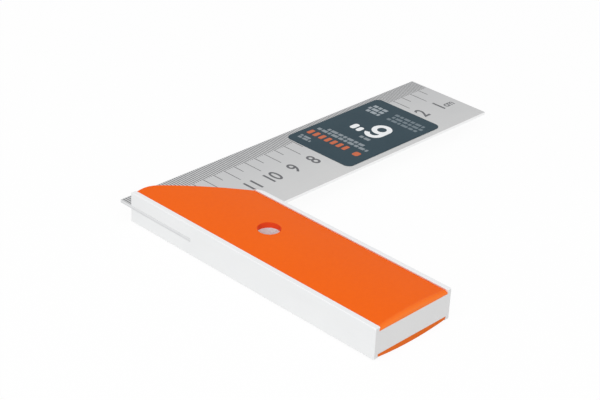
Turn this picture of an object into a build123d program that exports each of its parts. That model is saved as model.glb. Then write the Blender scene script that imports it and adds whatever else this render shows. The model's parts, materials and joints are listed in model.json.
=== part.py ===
from build123d import *
from math import sqrt
import os

# Carpenter's try square, lying on its side.
# X runs along the stock, Y along the blade and Z through the thickness.
# The origin is the heel: the blade's outer edge, in the plane of the stock's outer face,
# at half the thickness. All sizes are in millimetres.

# Stock
stock_length = 112.0
stock_width = 35.0
stock_thick = 11.2
rim_width = 2.0
channel_depth = 1.5
channel_undercut = 0.3
nose_width = 7.6
nose_blend = 8.0
nose_corner = 0.2
mitre_corner = 5.0
end_corner = 0.4
edge_round = 0.3

# Hanging hole
hole_diameter = 8.0
hole_from_end = 63.1

# Blade and its slot
blade_length = 151.0
blade_width = 37.5
blade_thick = 1.0
blade_overhang = 5.5
blade_corner = 0.4
heel_cut = 2.0
slot_gap = 0.05

# Graduations, counted from the blade's tip
mark_pitch = 1.0
mark_width = 0.28
mark_depth = 0.08
short_mark = 7.8
middle_mark = 12.4
long_mark = 16.2

# Inlays
inlay_gap = 0.05
inlay_recess = 0.4
inlay_crown = 0.95
inlay_end_inset = 0.05
inlay_bevel = 0.8
inlay_edge_break = 0.25

# Rivets
rivet_diameter = 3.0
rivet_head_diameter = 5.0
rivet_head_depth = 1.0
rivet_gap = 0.02
rivet_edge_distance = 8.0
rivet_heel_distance = 14.0
rivet_mitre_distance = 3.8

# Label
label_length = 51.1
label_width = 32.3
label_thick = 0.12
label_corner = 2.6
label_from_tip = 23.1
label_from_edge = 2.5

# Places worked out from the sizes above
nose_x = blade_overhang
end_x = nose_x + stock_length
mitre_x = nose_x + stock_width - nose_width
half_thick = stock_thick / 2
floor_z = half_thick - channel_depth
hole_x = end_x - hole_from_end
hole_y = stock_width / 2
blade_top = blade_thick / 2
past = 1.0

# The far rivets stand in line, and the last one keeps clear of the mitre and the inner face
rivet_far_x = blade_width - rivet_edge_distance
mitre_y = nose_width + rivet_far_x - nose_x
rivet_far_y = min(stock_width - rivet_edge_distance, mitre_y - sqrt(2) * rivet_mitre_distance)
rivet_places = {
    "rivet_1": (rivet_heel_distance, rivet_edge_distance),
    "rivet_2": (rivet_far_x, rivet_edge_distance),
    "rivet_3": (rivet_far_x, rivet_far_y),
}

os.makedirs("parts", exist_ok=True)


def finish(piece, name):
    """Label a finished piece and write it to its own file."""
    piece.label = name
    export_step(piece, f"parts/{name}.step")


def rivet_section(place, gap):
    """Half section of a rivet with a sunk head at each end, grown by a gap."""
    shank = rivet_diameter / 2 + gap
    head = rivet_head_diameter / 2 + gap
    upright = Plane(origin=(place[0], place[1], 0), x_dir=(1, 0, 0), z_dir=(0, -1, 0))
    with BuildSketch(upright) as section:
        with BuildLine():
            Polyline(
                (0, -floor_z),
                (head, -floor_z),
                (shank, rivet_head_depth - floor_z),
                (shank, floor_z - rivet_head_depth),
                (head, floor_z),
                (0, floor_z),
                close=True,
            )
        make_face()
    return section.sketch


# Outline of the stock seen from above: blunt nose, mitre and square free end
with BuildSketch() as outline:
    with BuildLine():
        FilletPolyline(
            (nose_x, 0),
            (end_x, 0),
            (end_x, stock_width),
            (mitre_x, stock_width),
            (nose_x, nose_width),
            radius=(nose_corner, end_corner, end_corner, mitre_corner, nose_blend),
            close=True,
        )
    make_face()

# The stock: an H section with its ends shaped, a saw slot, rivet holes and a hanging hole
with BuildPart() as stock:
    extrude(outline.sketch, amount=half_thick, both=True)
    fillet(stock.faces().filter_by(Axis.Z).edges(), radius=edge_round)

    # Channel for an inlay in each broad face, undercut so that it grips
    with BuildSketch(Plane.YZ.offset(nose_x - past)):
        mouth = rim_width
        foot = rim_width - channel_undercut
        with BuildLine():
            Polyline(
                (foot, floor_z),
                (stock_width - foot, floor_z),
                (stock_width - mouth, half_thick),
                (stock_width - mouth, half_thick + past),
                (mouth, half_thick + past),
                (mouth, half_thick),
                close=True,
            )
        make_face()
        mirror(about=Plane.XZ)
    extrude(amount=stock_length + 2 * past, mode=Mode.SUBTRACT)

    # Slot for the blade, open at the nose, its end run out at 45 degrees by the outer face
    with BuildSketch():
        slot_end = blade_width + slot_gap
        with BuildLine():
            Polyline(
                (nose_x - past, -past),
                (slot_end - heel_cut - past, -past),
                (slot_end, heel_cut),
                (slot_end, stock_width + past),
                (nose_x - past, stock_width + past),
                close=True,
            )
        make_face()
    extrude(amount=blade_top + slot_gap, both=True, mode=Mode.SUBTRACT)

    # Countersunk rivet holes through the web
    for place in rivet_places.values():
        rivet_axis = Axis((place[0], place[1], 0), (0, 0, 1))
        revolve(rivet_section(place, rivet_gap), axis=rivet_axis, mode=Mode.SUBTRACT)

    # Hanging hole
    with Locations((hole_x, hole_y)):
        Hole(radius=hole_diameter / 2)
finish(stock.part, "stock")

# The blade: a ground strip with its inner heel corner cut off, and with its marks engraved
# from the outer edge
with BuildPart() as blade:
    with BuildSketch() as strip:
        with Locations((blade_width / 2, blade_length / 2)):
            Rectangle(blade_width, blade_length)
        fillet(strip.vertices().group_by(Axis.Y)[-1], radius=blade_corner)
        chamfer(strip.vertices().group_by(Axis.Y)[0].sort_by(Axis.X)[-1], length=heel_cut)
    extrude(amount=blade_top, both=True)

    with BuildSketch(Plane.XY.offset(blade_top)):
        for mark in range(1, int(blade_length / mark_pitch)):
            if mark % 10 == 0:
                mark_length = long_mark
            elif mark % 5 == 0:
                mark_length = middle_mark
            else:
                mark_length = short_mark
            with Locations((mark_length / 2, blade_length - mark * mark_pitch)):
                Rectangle(mark_length, mark_width)
    extrude(amount=-mark_depth, mode=Mode.SUBTRACT)

    with BuildSketch(Plane.XY.offset(-blade_top)):
        with Locations(*rivet_places.values()):
            Circle(rivet_diameter / 2 + rivet_gap)
    extrude(amount=blade_thick, mode=Mode.SUBTRACT)
finish(blade.part, "blade")

# The plain inlay: a crowned strip that fills a channel and follows the stock's outline
with BuildPart() as plain_inlay:
    with BuildSketch(Plane.YZ.offset(nose_x - past)):
        side = rim_width + inlay_gap
        root = side - channel_undercut
        edge_z = half_thick - inlay_recess
        with BuildLine():
            Line((side, edge_z), (root, floor_z))
            Line((root, floor_z), (stock_width - root, floor_z))
            Line((stock_width - root, floor_z), (stock_width - side, edge_z))
            ThreePointArc(
                (stock_width - side, edge_z),
                (stock_width / 2, edge_z + inlay_crown),
                (side, edge_z),
            )
        make_face()
    extrude(amount=stock_length + 2 * past)

    with BuildSketch():
        add(outline.sketch)
        offset(amount=-inlay_end_inset, mode=Mode.REPLACE)
    extrude(amount=stock_thick, mode=Mode.INTERSECT)

    # Small edge break round the nose and mitre
    crown = plain_inlay.faces().filter_by(GeomType.CYLINDER).sort_by(SortBy.AREA)[-1]
    shaped_edges = crown.edges().filter_by(Axis.X, reverse=True)
    chamfer(shaped_edges.filter_by_position(Axis.X, nose_x, mitre_x), length=inlay_edge_break)

    with BuildSketch():
        with Locations((hole_x, hole_y)):
            Circle(hole_diameter / 2)
    extrude(amount=stock_thick, mode=Mode.SUBTRACT)

# The upper inlay has a bevel across its free end
with BuildPart() as inlay_top:
    add(plain_inlay.part)
    free_end = inlay_top.faces().sort_by(Axis.X)[-1]
    chamfer(free_end.edges().sort_by(Axis.Z)[-1], length=inlay_bevel)
finish(inlay_top.part, "inlay_top")

# The lower inlay is plain, the other way up
with BuildPart() as inlay_bottom:
    mirror(plain_inlay.part, about=Plane.XY)
finish(inlay_bottom.part, "inlay_bottom")

# The rivets that hold the blade
for rivet_name, place in rivet_places.items():
    with BuildPart() as rivet:
        revolve(rivet_section(place, 0), axis=Axis((place[0], place[1], 0), (0, 0, 1)))
    finish(rivet.part, rivet_name)

# The label stuck on the blade
with BuildPart() as label:
    label_centre = (
        label_from_edge + label_width / 2,
        blade_length - label_from_tip - label_length / 2,
    )
    with BuildSketch(Plane.XY.offset(blade_top)):
        with Locations(label_centre):
            RectangleRounded(label_width, label_length, label_corner)
    extrude(amount=label_thick)
finish(label.part, "label")
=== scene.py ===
import json
from math import radians

import bmesh
import bpy
from mathutils import Matrix, Vector


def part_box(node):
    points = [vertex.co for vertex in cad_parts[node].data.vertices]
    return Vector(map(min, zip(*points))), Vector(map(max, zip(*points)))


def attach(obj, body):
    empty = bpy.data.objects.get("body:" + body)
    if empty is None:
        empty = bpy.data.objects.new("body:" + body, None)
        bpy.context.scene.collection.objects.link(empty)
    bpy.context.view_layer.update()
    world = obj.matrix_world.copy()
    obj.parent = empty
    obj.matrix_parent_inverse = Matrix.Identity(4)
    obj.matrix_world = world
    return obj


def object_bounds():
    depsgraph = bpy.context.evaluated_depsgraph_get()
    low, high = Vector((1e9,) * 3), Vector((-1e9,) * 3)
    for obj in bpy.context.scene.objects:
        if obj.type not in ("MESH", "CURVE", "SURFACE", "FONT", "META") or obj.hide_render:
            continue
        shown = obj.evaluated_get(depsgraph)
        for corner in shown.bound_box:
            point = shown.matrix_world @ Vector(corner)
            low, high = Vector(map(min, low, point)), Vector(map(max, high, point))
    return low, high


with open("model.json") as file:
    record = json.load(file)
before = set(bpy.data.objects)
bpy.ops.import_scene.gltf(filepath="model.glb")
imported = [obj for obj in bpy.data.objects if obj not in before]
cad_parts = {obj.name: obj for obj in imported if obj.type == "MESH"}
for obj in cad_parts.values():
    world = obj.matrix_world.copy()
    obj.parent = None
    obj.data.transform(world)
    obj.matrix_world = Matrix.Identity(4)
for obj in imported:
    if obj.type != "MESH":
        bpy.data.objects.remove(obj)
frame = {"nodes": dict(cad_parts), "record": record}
cad_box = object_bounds()
record = frame["record"]

# Carpenter's try square, lying on its side. Lengths are in metres, in the part's own frame:
# X runs along the stock, Y along the blade and Z through the thickness.
MM = 0.001

# Boxes of the pieces that the finishes and the print are fitted to
stock_low, stock_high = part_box("stock")
blade_low, blade_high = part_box("blade")
inlay_low, inlay_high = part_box("inlay_top")
label_low, label_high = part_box("label")

# Hanging hole
mounts = {mount["name"]: mount for mount in record["mounts"]}
hole_centre = Vector(mounts["hanging_hole"]["pos_m"])
hole_radius = mounts["hanging_hole"]["dims"]["r_mm"] * MM

# What lies nearer to a face than this counts as that face
skin = 0.01 * MM

# The inked floors of the engraved marks lie between these depths below the blade's upper face
mark_ink_top = 0.03 * MM
mark_ink_bottom = 0.12 * MM

# Room beside an inlay, and the depth of the soft edge at its free end
channel_gap = 0.1 * MM
soft_edge = 1.6 * MM

# Print: its thickness, and how close the figures of one number stand
ink_thickness = 0.02 * MM
figure_spacing = 0.9

# The darker and the lighter tone of each printing ink, in screen values
ink_tones = {
    "black_ink": ((94, 95, 99), (110, 112, 115)),
    "white_ink": ((236, 239, 242), (248, 249, 250)),
    "pale_ink": ((148, 158, 165), (166, 175, 181)),
    "grey_ink": ((128, 138, 145), (145, 154, 160)),
    "dim_ink": ((104, 118, 126), (118, 131, 139)),
    "orange_ink": ((194, 95, 58), (208, 109, 70)),
}

# The scale's numerals, in a line along the blade
last_numeral = 12
numeral_pitch = 10 * MM
numeral_line = 22.1 * MM
numeral_shift = 0.5 * MM
numeral_height = 6.4 * MM
numeral_squeeze = 0.8
numeral_weight = 0.012

# The scale's unit, near the tip
unit_line = 23.7 * MM
unit_from_tip = 5.4 * MM
unit_height = 2.5 * MM
unit_squeeze = 0.85
unit_weight = 0.01

# The label's print is laid out in millimetres, from the label's corner with the least X and Y

# The big figure 6, and the share of its thickness by which its stroke ends below its back
six_centre = (19.7, 29.6)
six_height = 11.9
six_width = 7.9
six_stroke = 2.1
six_dip = 0.3

# Degrees of the figure 6: between its sections, where it starts, and how far its bowl runs
six_step = 10
six_start = 20
six_bowl = 350

# Plates: the first and last X, the first and last Y, and the radius of the corners
inch_mark_plates = [(9.5, 11.9, 24.1, 28.4, 1.0), (12.7, 14.8, 24.0, 27.6, 0.9)]
end_block = (25.6, 28.3, 8.2, 11.3, 0.8)

# The row of equal blocks
block_count = 7
block_first_x = 2.4
block_width = 1.75
block_gap = 1.2
block_first_y = 8.5
block_last_y = 11.9
block_corner = 0.4

# Small print, in words of these lengths, a space apart
word_lengths = (1.7, 2.6, 1.2, 3.1, 2.0, 1.5, 2.8)
word_space = 0.55
shortest_word = 0.6
word_corner = 0.2

# Each field of small print: its ink, and its rows' first and last X and first and last Y
small_print = {
    "label_code": ("grey_ink", [(2.7, 8.9, 3.5, 4.7), (2.5, 7.9, 5.1, 6.3)]),
    "label_heading": ("grey_ink", [(2.9, 28.1, 13.6, 15.2), (6.1, 24.3, 15.8, 17.4)]),
    "label_unit": ("grey_ink", [(17.7, 22.7, 20.8, 22.4)]),
    "label_address": (
        "pale_ink",
        [(3.9, 11.1, 39.4, 41.1), (3.0, 10.9, 41.8, 43.5), (3.4, 10.3, 44.2, 45.9)],
    ),
    "label_notes": (
        "dim_ink",
        [(14.3, 29.7, 39.8, 41.3), (14.9, 30.1, 42.2, 43.7), (14.3, 29.5, 44.6, 46.1)],
    ),
}

# Studio: how far the white floor reaches each way, its paint, and the share of it that glows
floor_reach = 6.0
floor_paint = (0.95, 0.95, 0.95, 1)
floor_glow = 0.94

# The light of the surroundings, where 1 is white
sky_light = 0.7

# One soft light, pointed at the middle of the label's near edge
light_place = Vector((0.32, -0.50, 0.62))
light_aim = Vector(((label_low.x + label_high.x) / 2, label_low.y, 0))
light_size = 1.0
light_power = 3.6

# Camera at the photograph's place
camera_place = Vector((373.74, -305.94, 265.68)) * MM
camera_aim = Vector((39.734, 46.955, 0.0)) * MM
camera_roll = radians(2.755)
camera_lens = 96.308
camera_sensor = 36
camera_nearest = 10 * MM


class Value:
    """One output of a shader node. Arithmetic and comparisons on it add Math nodes, and a | b
    is the larger of the two."""

    def __init__(self, finish, socket):
        self.finish = finish
        self.socket = socket

    def maths(self, operation, *operands):
        settings = {"operation": operation}
        return self.finish.node("Math", settings, dict(enumerate(operands)))

    def __add__(self, other):
        return self.maths("ADD", self, other)

    __radd__ = __add__

    def __sub__(self, other):
        return self.maths("SUBTRACT", self, other)

    def __rsub__(self, other):
        return self.maths("SUBTRACT", other, self)

    def __mul__(self, other):
        return self.maths("MULTIPLY", self, other)

    __rmul__ = __mul__

    def __abs__(self):
        return self.maths("ABSOLUTE", self)

    def __lt__(self, other):
        return self.maths("LESS_THAN", self, other)

    def __gt__(self, other):
        return self.maths("GREATER_THAN", self, other)

    def __or__(self, other):
        return self.maths("MAXIMUM", self, other)


class Finish:
    """The nodes of a material or of the world, written as formulas."""

    def __init__(self, owner, output="OutputMaterial"):
        owner.use_nodes = True
        self.owner = owner
        self.tree = owner.node_tree
        self.tree.nodes.clear()
        self.output = self.tree.nodes.new("ShaderNode" + output)

    def node(self, kind, settings=None, inputs=None, output=0):
        """Adds a node: its settings first, then the values or links of its sockets."""
        made = self.tree.nodes.new("ShaderNode" + kind)
        for name, setting in (settings or {}).items():
            setattr(made, name, setting)
        for name, value in (inputs or {}).items():
            if isinstance(value, Value):
                self.tree.links.new(value.socket, made.inputs[name])
            else:
                made.inputs[name].default_value = value
        return Value(self, made.outputs[output])

    def end(self, surface):
        """Ends the finish with a shader, and returns the material or world that has it."""
        self.tree.links.new(surface.socket, self.output.inputs["Surface"])
        return self.owner

    def shader(self, **inputs):
        """Ends the finish with the Principled shader."""
        sockets = {name.replace("_", " "): value for name, value in inputs.items()}
        return self.end(self.node("BsdfPrincipled", {}, sockets))

    def place(self, scale=(1, 1, 1)):
        """Object coordinates, scaled along each axis."""
        inputs = {"Vector": self.node("TexCoord", output="Object"), "Scale": scale}
        return self.node("Mapping", {"vector_type": "POINT"}, inputs)

    def axis(self, letter):
        """One of the object coordinates."""
        inputs = {"Vector": self.node("TexCoord", output="Object")}
        return self.node("SeparateXYZ", {}, inputs, output=letter)

    def noise(self, place, scale, detail=2.0, roughness=0.5):
        """Soft noise from 0 to 1."""
        inputs = {"Vector": place, "Scale": scale, "Detail": detail, "Roughness": roughness}
        return self.node("TexNoise", {}, inputs)

    def blend(self, factor, first, second):
        """A colour between two, each another blend or a colour in screen values."""
        first, second = (
            colour if isinstance(colour, Value) else linear(*colour) for colour in (first, second)
        )
        # The Mix node keeps its colours in sockets 6 and 7, and their mix in output 2
        return self.node("Mix", {"data_type": "RGBA"}, {0: factor, 6: first, 7: second}, output=2)

    def bump(self, height, strength, distance):
        """A normal bent by a height."""
        inputs = {"Height": height, "Strength": strength, "Distance": distance}
        return self.node("Bump", {}, inputs)

    def in_hole(self):
        """1 on the wall of the hanging hole, and 0 elsewhere."""
        across = self.axis("X") - hole_centre.x
        along = self.axis("Y") - hole_centre.y
        return across * across + along * along < (hole_radius + skin) ** 2

    def beside_inlay(self):
        """1 on the walls of the upper inlay's channel, and 0 elsewhere."""
        middle = (stock_low.y + stock_high.y) / 2
        from_middle = abs(self.axis("Y") - middle)
        height = self.axis("Z")
        within = from_middle < inlay_high.y - middle + channel_gap
        return within * (height > inlay_low.z + skin) * (height < stock_high.z - skin)

    def seen(self):
        """1 for what the eye sees, also in a reflection or through glass, and 0 for light."""
        rays = ("Is Camera Ray", "Is Glossy Ray", "Is Transmission Ray")
        camera, mirrored, through = (self.node("LightPath", output=ray) for ray in rays)
        return camera | mirrored | through


def linear(red, green, blue):
    """A colour in screen values from 0 to 255, turned into light by the screen's usual curve."""
    parts = []
    for value in (red, green, blue):
        share = value / 255
        parts.append(share / 12.92 if share <= 0.04045 else ((share + 0.055) / 1.055) ** 2.4)
    return (*parts, 1.0)


def stock_metal():
    """Clear anodised aluminium: silver white and matt, with faint drawing lines along its
    length. Painted shade makes the end greyer and the rims' upper face a little darker and bluer,
    and painted light makes the walls in the hole and beside the upper inlay paler."""
    finish = Finish(bpy.data.materials.new("stock_metal"))
    drawn = finish.noise(finish.place((40, 4000, 4000)), scale=1.0, detail=3.0, roughness=0.6)
    cloud = finish.noise(finish.place(), scale=60.0)
    grain = finish.noise(finish.place(), scale=5000.0, detail=1.0)
    # The end face, which gets a painted shade below
    end_in_shade = finish.axis("X") > stock_high.x - skin
    rim_top = finish.axis("Z") > stock_high.z - skin
    inner_wall = finish.in_hole() + finish.beside_inlay() * (1 - end_in_shade)
    tone = 0.5 * drawn + 0.5 * cloud
    face = finish.blend(tone, (234, 235, 236), (243, 244, 244))
    # Painted shade: the end face gets a greyer colour than the near face, as it lies in less
    # light
    end = finish.blend(tone, (216, 216, 217), (225, 225, 224))
    # Painted shade: the rims' upper face gets its own slightly darker, bluer colour than the near
    # face
    rim = finish.blend(tone, (233, 234, 236), (239, 239, 240))
    # Painted light: the walls in the hole and beside the upper inlay are painted paler than the
    # faces, against the shade in them
    wall = finish.blend(tone, (248, 249, 251), (253, 253, 254))
    outside = finish.blend(rim_top, finish.blend(end_in_shade, face, end), rim)
    return finish.shader(
        Base_Color=finish.blend(inner_wall, outside, wall),
        Metallic=0.72 - 0.45 * inner_wall,
        Roughness=0.42 + 0.1 * drawn - 0.1 * inner_wall,
        Normal=finish.bump(drawn + 0.4 * grain, strength=0.1, distance=0.02 * MM),
    )


def blade_steel():
    """Brushed stainless steel, paler on its ground edges, with dark ink in the floors of its
    engraved marks. Painted reflection makes it paler towards its inner edge, and painted shade
    darkens the heel's end towards its lower edge."""
    finish = Finish(bpy.data.materials.new("blade_steel"))
    brushed = finish.noise(finish.place((6000, 60, 6000)), scale=1.0, detail=4.0, roughness=0.65)
    cloud = finish.noise(finish.place(), scale=45.0, detail=3.0)
    across, along, height = (finish.axis(letter) for letter in "XYZ")
    heel_end = along < skin
    within_width = (across > skin) * (across < blade_high.x - skin)
    inside = within_width * (along < blade_high.y - skin)
    above_ink_bottom = height > blade_high.z - mark_ink_bottom
    in_marks = above_ink_bottom * (height < blade_high.z - mark_ink_top)
    inked = in_marks * inside * (1 - heel_end)
    # Painted reflection: the steel grows paler towards its inner edge
    reflection_towards_inner_edge = 14.0 * (across - 0.6 * blade_high.x)
    tone = 0.6 * brushed + 0.4 * cloud + reflection_towards_inner_edge
    steel = finish.blend(tone, (202, 203, 204), (221, 221, 220))
    ground = finish.blend(tone, (246, 247, 248), (252, 252, 252))
    # Painted shade: the heel's end pales from its lower edge to its upper one, darker where the
    # stock's slot shades it
    rise = (height - blade_low.z) * (1 / (blade_high.z - blade_low.z))
    heel = finish.blend(rise, (222, 223, 224), (240, 241, 242))
    metal = finish.blend(heel_end, finish.blend(inside, ground, steel), heel)
    return finish.shader(
        Base_Color=finish.blend(inked, metal, (72, 73, 76)),
        Metallic=0.9 * (1 - inked),
        Specular_IOR_Level=0.25,
        Specular_Tint=(0.4, 0.4, 0.42, 1),
        Roughness=0.3 + 0.14 * brushed + 0.1 * inked,
        Normal=finish.bump(brushed, strength=0.1, distance=0.01 * MM),
    )


def rivet_steel():
    """Plain steel, ground flush."""
    finish = Finish(bpy.data.materials.new("rivet_steel"))
    ground = finish.noise(finish.place((300, 4000, 300)), scale=1.0, detail=3.0)
    return finish.shader(
        Base_Color=finish.blend(ground, (170, 171, 173), (196, 197, 198)),
        Metallic=0.9,
        Roughness=0.34 + 0.12 * ground,
    )


def inlay_plastic():
    """Orange moulded plastic with a fine sparked grain. A painted highlight makes the soft edge
    of the upper inlay paler, painted shade makes the lower one darker where it is cut off, and
    painted shade and bounce light make it redder in the hole."""
    finish = Finish(bpy.data.materials.new("inlay_plastic"))
    grain = finish.noise(finish.place(), scale=1700.0, detail=3.0, roughness=0.6)
    pores = finish.noise(finish.place(), scale=700.0)
    cloud = finish.noise(finish.place(), scale=50.0)
    tone = 0.5 * grain + 0.3 * pores + 0.2 * cloud
    along = finish.axis("X")
    height = finish.axis("Z")
    towards_end = (along - (inlay_high.x - soft_edge)) * (1 / soft_edge)
    # Painted shade: the cut-off end of the lower inlay is painted darker
    lower_end_shade = (along > inlay_high.x - skin) * (height < 0)
    flat = finish.blend(tone, (237, 91, 2), (250, 108, 8))
    # Painted highlight: the soft edge at the upper inlay's free end is painted paler
    bevel_highlight = finish.blend(towards_end * (height > 0), flat, (251, 125, 46))
    outside = finish.blend(lower_end_shade, bevel_highlight, (226, 108, 24))
    return finish.shader(
        # Painted shade and bounce light: the inlay is painted a redder orange in the hole
        Base_Color=finish.blend(finish.in_hole(), outside, (246, 80, 36)),
        Specular_IOR_Level=0.1,
        Roughness=0.46 + 0.16 * grain,
        Normal=finish.bump(0.7 * grain + 0.5 * pores, strength=0.5, distance=0.08 * MM),
    )


def label_film():
    """Slate printed film with a slight orange peel."""
    finish = Finish(bpy.data.materials.new("label_film"))
    peel = finish.noise(finish.place(), scale=900.0, detail=1.0)
    cloud = finish.noise(finish.place(), scale=80.0)
    return finish.shader(
        Base_Color=finish.blend(cloud, (33, 57, 68), (43, 67, 78)),
        Specular_IOR_Level=0.11,
        Roughness=0.4 + 0.06 * peel,
        Normal=finish.bump(peel, strength=0.08, distance=0.02 * MM),
    )


def printing_ink(name, dark, light):
    """Printed ink, a little uneven in tone."""
    finish = Finish(bpy.data.materials.new(name))
    cover = finish.noise(finish.place(), scale=2500.0)
    return finish.shader(
        Base_Color=finish.blend(cover, dark, light),
        Specular_IOR_Level=0.14,
        Roughness=0.4 + 0.08 * cover,
    )


finishes = {
    "stock_metal": stock_metal(),
    "blade_steel": blade_steel(),
    "inlay_plastic": inlay_plastic(),
    "rivet_steel": rivet_steel(),
    "label_film": label_film(),
}
for subpart in record["subparts"]:
    materials = frame["nodes"][subpart["node"]].data.materials
    materials.clear()
    materials.append(finishes[subpart["material_slot"]])

inks = {name: printing_ink(name, dark, light) for name, (dark, light) in ink_tones.items()}


def add_piece(name, shape, material):
    """Makes a bmesh a piece of the square, in its finish."""
    bmesh.ops.recalc_face_normals(shape, faces=shape.faces)
    mesh = bpy.data.meshes.new(name)
    shape.to_mesh(mesh)
    shape.free()
    mesh.materials.append(material)
    piece = bpy.data.objects.new(name, mesh)
    bpy.context.scene.collection.objects.link(piece)
    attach(piece, "root")


def print_frame(centre, reading, up):
    """The place of flat print: its own X reads along reading, and its own Y points up."""
    facing = Vector(reading).cross(Vector(up))
    turned = Matrix((reading, up, facing)).transposed()
    return Matrix.Translation(centre) @ turned.to_4x4()


def add_figures(shape, figures, x, y, height, squeeze, weight):
    """Adds figures to a shape as thin print on the blade, upright when its outer edge is up.
    They are squeezed across and made heavier."""
    curve = bpy.data.curves.new("figures", "FONT")
    curve.body = figures
    # Half a unit each way, so that the ink's thickness scales it
    curve.extrude = 0.5
    curve.offset = weight
    curve.space_character = figure_spacing
    draft = bpy.data.objects.new("figures", curve)
    bpy.context.scene.collection.objects.link(draft)
    bpy.context.view_layer.update()
    mesh = bpy.data.meshes.new_from_object(draft)
    bpy.data.objects.remove(draft)
    corners = [vertex.co for vertex in mesh.vertices]
    low = Vector([min(corner[axis] for corner in corners) for axis in range(3)])
    high = Vector([max(corner[axis] for corner in corners) for axis in range(3)])
    scale = height / (high.y - low.y)
    centre = Vector((x, y, blade_high.z + ink_thickness / 2))
    mesh.transform(Matrix.Translation(-(low + high) / 2))
    mesh.transform(Matrix.Diagonal((scale * squeeze, scale, ink_thickness, 1)))
    mesh.transform(print_frame(centre, reading=(0, 1, 0), up=(-1, 0, 0)))
    shape.from_mesh(mesh)
    bpy.data.meshes.remove(mesh)


# The scale's numerals, without those that the label covers
numerals = bmesh.new()
for numeral in range(1, last_numeral + 1):
    mark = blade_high.y - numeral * numeral_pitch
    if not label_low.y < mark < label_high.y:
        add_figures(
            numerals,
            str(numeral),
            numeral_line,
            mark + numeral_shift,
            numeral_height,
            numeral_squeeze,
            numeral_weight,
        )
add_piece("numerals", numerals, inks["black_ink"])

unit_mark = bmesh.new()
unit_y = blade_high.y - unit_from_tip
add_figures(unit_mark, "cm", unit_line, unit_y, unit_height, unit_squeeze, unit_weight)
add_piece("unit_mark", unit_mark, inks["black_ink"])


def on_label(x, y):
    """The place of a point of the label's print, at half the print's thickness."""
    return Vector((label_low.x + x * MM, label_low.y + y * MM, label_high.z + ink_thickness / 2))


def add_plate(shape, first_x, last_x, first_y, last_y, corner):
    """Adds a thin printed plate with rounded corners to a shape, on the label."""
    centre = on_label((first_x + last_x) / 2, (first_y + last_y) / 2)
    size = Matrix.Diagonal(((last_x - first_x) * MM, (last_y - first_y) * MM, ink_thickness, 1))
    made = bmesh.ops.create_cube(shape, size=1.0, matrix=Matrix.Translation(centre) @ size)
    upright = [
        edge
        for vertex in made["verts"]
        for edge in vertex.link_edges
        if vertex.co.z < edge.other_vert(vertex).co.z - ink_thickness / 2
    ]
    bmesh.ops.bevel(
        shape,
        geom=upright,
        offset=corner * MM,
        segments=3,
        profile=0.5,
        affect="EDGES",
        material=-1,
    )


def add_words(shape, first_x, last_x, first_y, last_y, word):
    """Adds a row of small plates to a shape, on the label, long and short like words. The first
    of them takes its length from the given place in the list."""
    here = first_x
    while here < last_x - shortest_word:
        there = min(here + word_lengths[word % len(word_lengths)], last_x)
        add_plate(shape, here, there, first_y, last_y, word_corner)
        here = there + word_space
        word += 1


def parts_of(geometry, kind):
    """The faces, edges or vertices in what a bmesh operator returns."""
    return [part for part in geometry if isinstance(part, kind)]


def carry_round(stroke, end, middle, degrees, dip=0):
    """Carries the end of a stroke round a middle, going down by dip on the way, and returns
    the new end."""
    steps = degrees // six_step
    return bmesh.ops.spin(
        stroke,
        geom=end,
        cent=middle,
        axis=(0, 0, 1),
        dvec=(0, 0, -dip / steps),
        angle=radians(degrees),
        steps=steps,
    )["geom_last"]


def bold_six():
    """The label's figure 6 as one bent stroke: over the top, straight down the back and round
    the bowl, whose end passes just under the back."""
    thickness = ink_thickness / MM
    radius = (six_width - six_stroke) / 2
    drop = (six_height - six_stroke) / 2 - radius
    nib = Matrix.Diagonal((six_stroke, 1, thickness, 1)) @ Matrix.Rotation(radians(90), 4, "X")
    swing = Matrix.Rotation(radians(six_start), 4, "Z") @ Matrix.Translation((radius, 0, 0))
    start = Matrix.Translation((0, drop, 0)) @ swing @ nib
    six = bmesh.new()
    bmesh.ops.create_grid(six, x_segments=1, y_segments=1, size=0.5, matrix=start)
    end = carry_round(six, six.faces[:], (0, drop, 0), 180 - six_start)
    faces = parts_of(end, bmesh.types.BMFace)
    back = bmesh.ops.extrude_face_region(six, geom=faces)["geom"]
    corners = parts_of(back, bmesh.types.BMVert)
    bmesh.ops.translate(six, vec=(0, -2 * drop, 0), verts=corners)
    end = parts_of(back, bmesh.types.BMFace)
    carry_round(six, end, (0, -drop, 0), six_bowl, dip=six_dip * thickness)
    place = print_frame(on_label(*six_centre), reading=(-1, 0, 0), up=(0, -1, 0))
    bmesh.ops.transform(six, matrix=place @ Matrix.Scale(MM, 4), verts=six.verts)
    return six


# The label's size in inches, as a big plain numeral with its inch mark
add_piece("label_number", bold_six(), inks["white_ink"])

inch_mark = bmesh.new()
for plate in inch_mark_plates:
    add_plate(inch_mark, *plate)
add_piece("label_inch_mark", inch_mark, inks["white_ink"])

# The label's main line, as a row of plain blocks
label_blocks = bmesh.new()
for block in range(block_count):
    start = block_first_x + block * (block_width + block_gap)
    end = start + block_width
    add_plate(label_blocks, start, end, block_first_y, block_last_y, block_corner)
add_plate(label_blocks, *end_block)
add_piece("label_blocks", label_blocks, inks["orange_ink"])

# The label's small print, in which each row starts two words further on
for name, (ink, rows) in small_print.items():
    print_rows = bmesh.new()
    for number, row in enumerate(rows):
        add_words(print_rows, *row, 2 * number)
    add_piece(name, print_rows, inks[ink])


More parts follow.
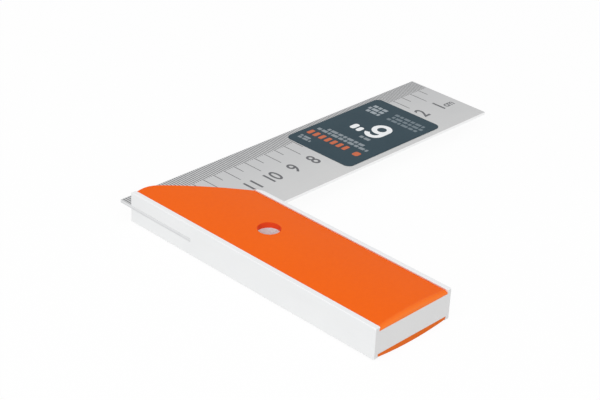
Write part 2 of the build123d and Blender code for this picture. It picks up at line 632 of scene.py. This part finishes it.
def floor_white():
    """White to the eye, with a faint shadow."""
    finish = Finish(bpy.data.materials.new("floor_white"))
    paint = finish.node("BsdfDiffuse", {}, {"Color": floor_paint})
    glow = finish.node("Emission", {}, {"Color": (1, 1, 1, 1), "Strength": 1.0})
    mixed = finish.node("MixShader", {}, {0: floor_glow * finish.seen(), 1: paint, 2: glow})
    return finish.end(mixed)


def studio_world():
    """White to the eye, and a soft grey light on the object."""
    finish = Finish(bpy.data.worlds.new("studio"), "OutputWorld")
    strength = sky_light + (1 - sky_light) * finish.seen()
    sky = finish.node("Background", {}, {"Color": (1, 1, 1, 1), "Strength": strength})
    return finish.end(sky)


def add_floor():
    """The floor that the object lies on."""
    shape = bmesh.new()
    at_foot = Matrix.Translation((0, 0, cad_box[0][2]))
    bmesh.ops.create_grid(shape, x_segments=1, y_segments=1, size=floor_reach, matrix=at_foot)
    mesh = bpy.data.meshes.new("floor")
    shape.to_mesh(mesh)
    shape.free()
    mesh.materials.append(floor_white())
    floor = bpy.data.objects.new("floor", mesh)
    bpy.context.scene.collection.objects.link(floor)


def add_softbox():
    """A large soft light in front of the object and above it."""
    light = bpy.data.lights.new("front_light", "AREA")
    light.size = light_size
    light.energy = light_power
    lamp = bpy.data.objects.new("front_light", light)
    lamp.location = light_place
    lamp.rotation_euler = (light_aim - light_place).to_track_quat("-Z", "Y").to_euler()
    bpy.context.scene.collection.objects.link(lamp)


def add_camera():
    """The camera, turned about its own line of sight by its roll."""
    camera_data = bpy.data.cameras.new("camera")
    camera_data.lens = camera_lens
    camera_data.sensor_width = camera_sensor
    camera_data.clip_start = camera_nearest
    camera = bpy.data.objects.new("camera", camera_data)
    camera.location = camera_place
    level = (camera_aim - camera_place).to_track_quat("-Z", "Y")
    camera.rotation_mode = "QUATERNION"
    camera.rotation_quaternion = level @ Matrix.Rotation(camera_roll, 3, "Z").to_quaternion()
    bpy.context.scene.collection.objects.link(camera)
    return camera


add_floor()
add_softbox()
bpy.context.scene.world = studio_world()
bpy.context.scene.camera = add_camera()
bpy.context.scene.view_settings.view_transform = "Standard"
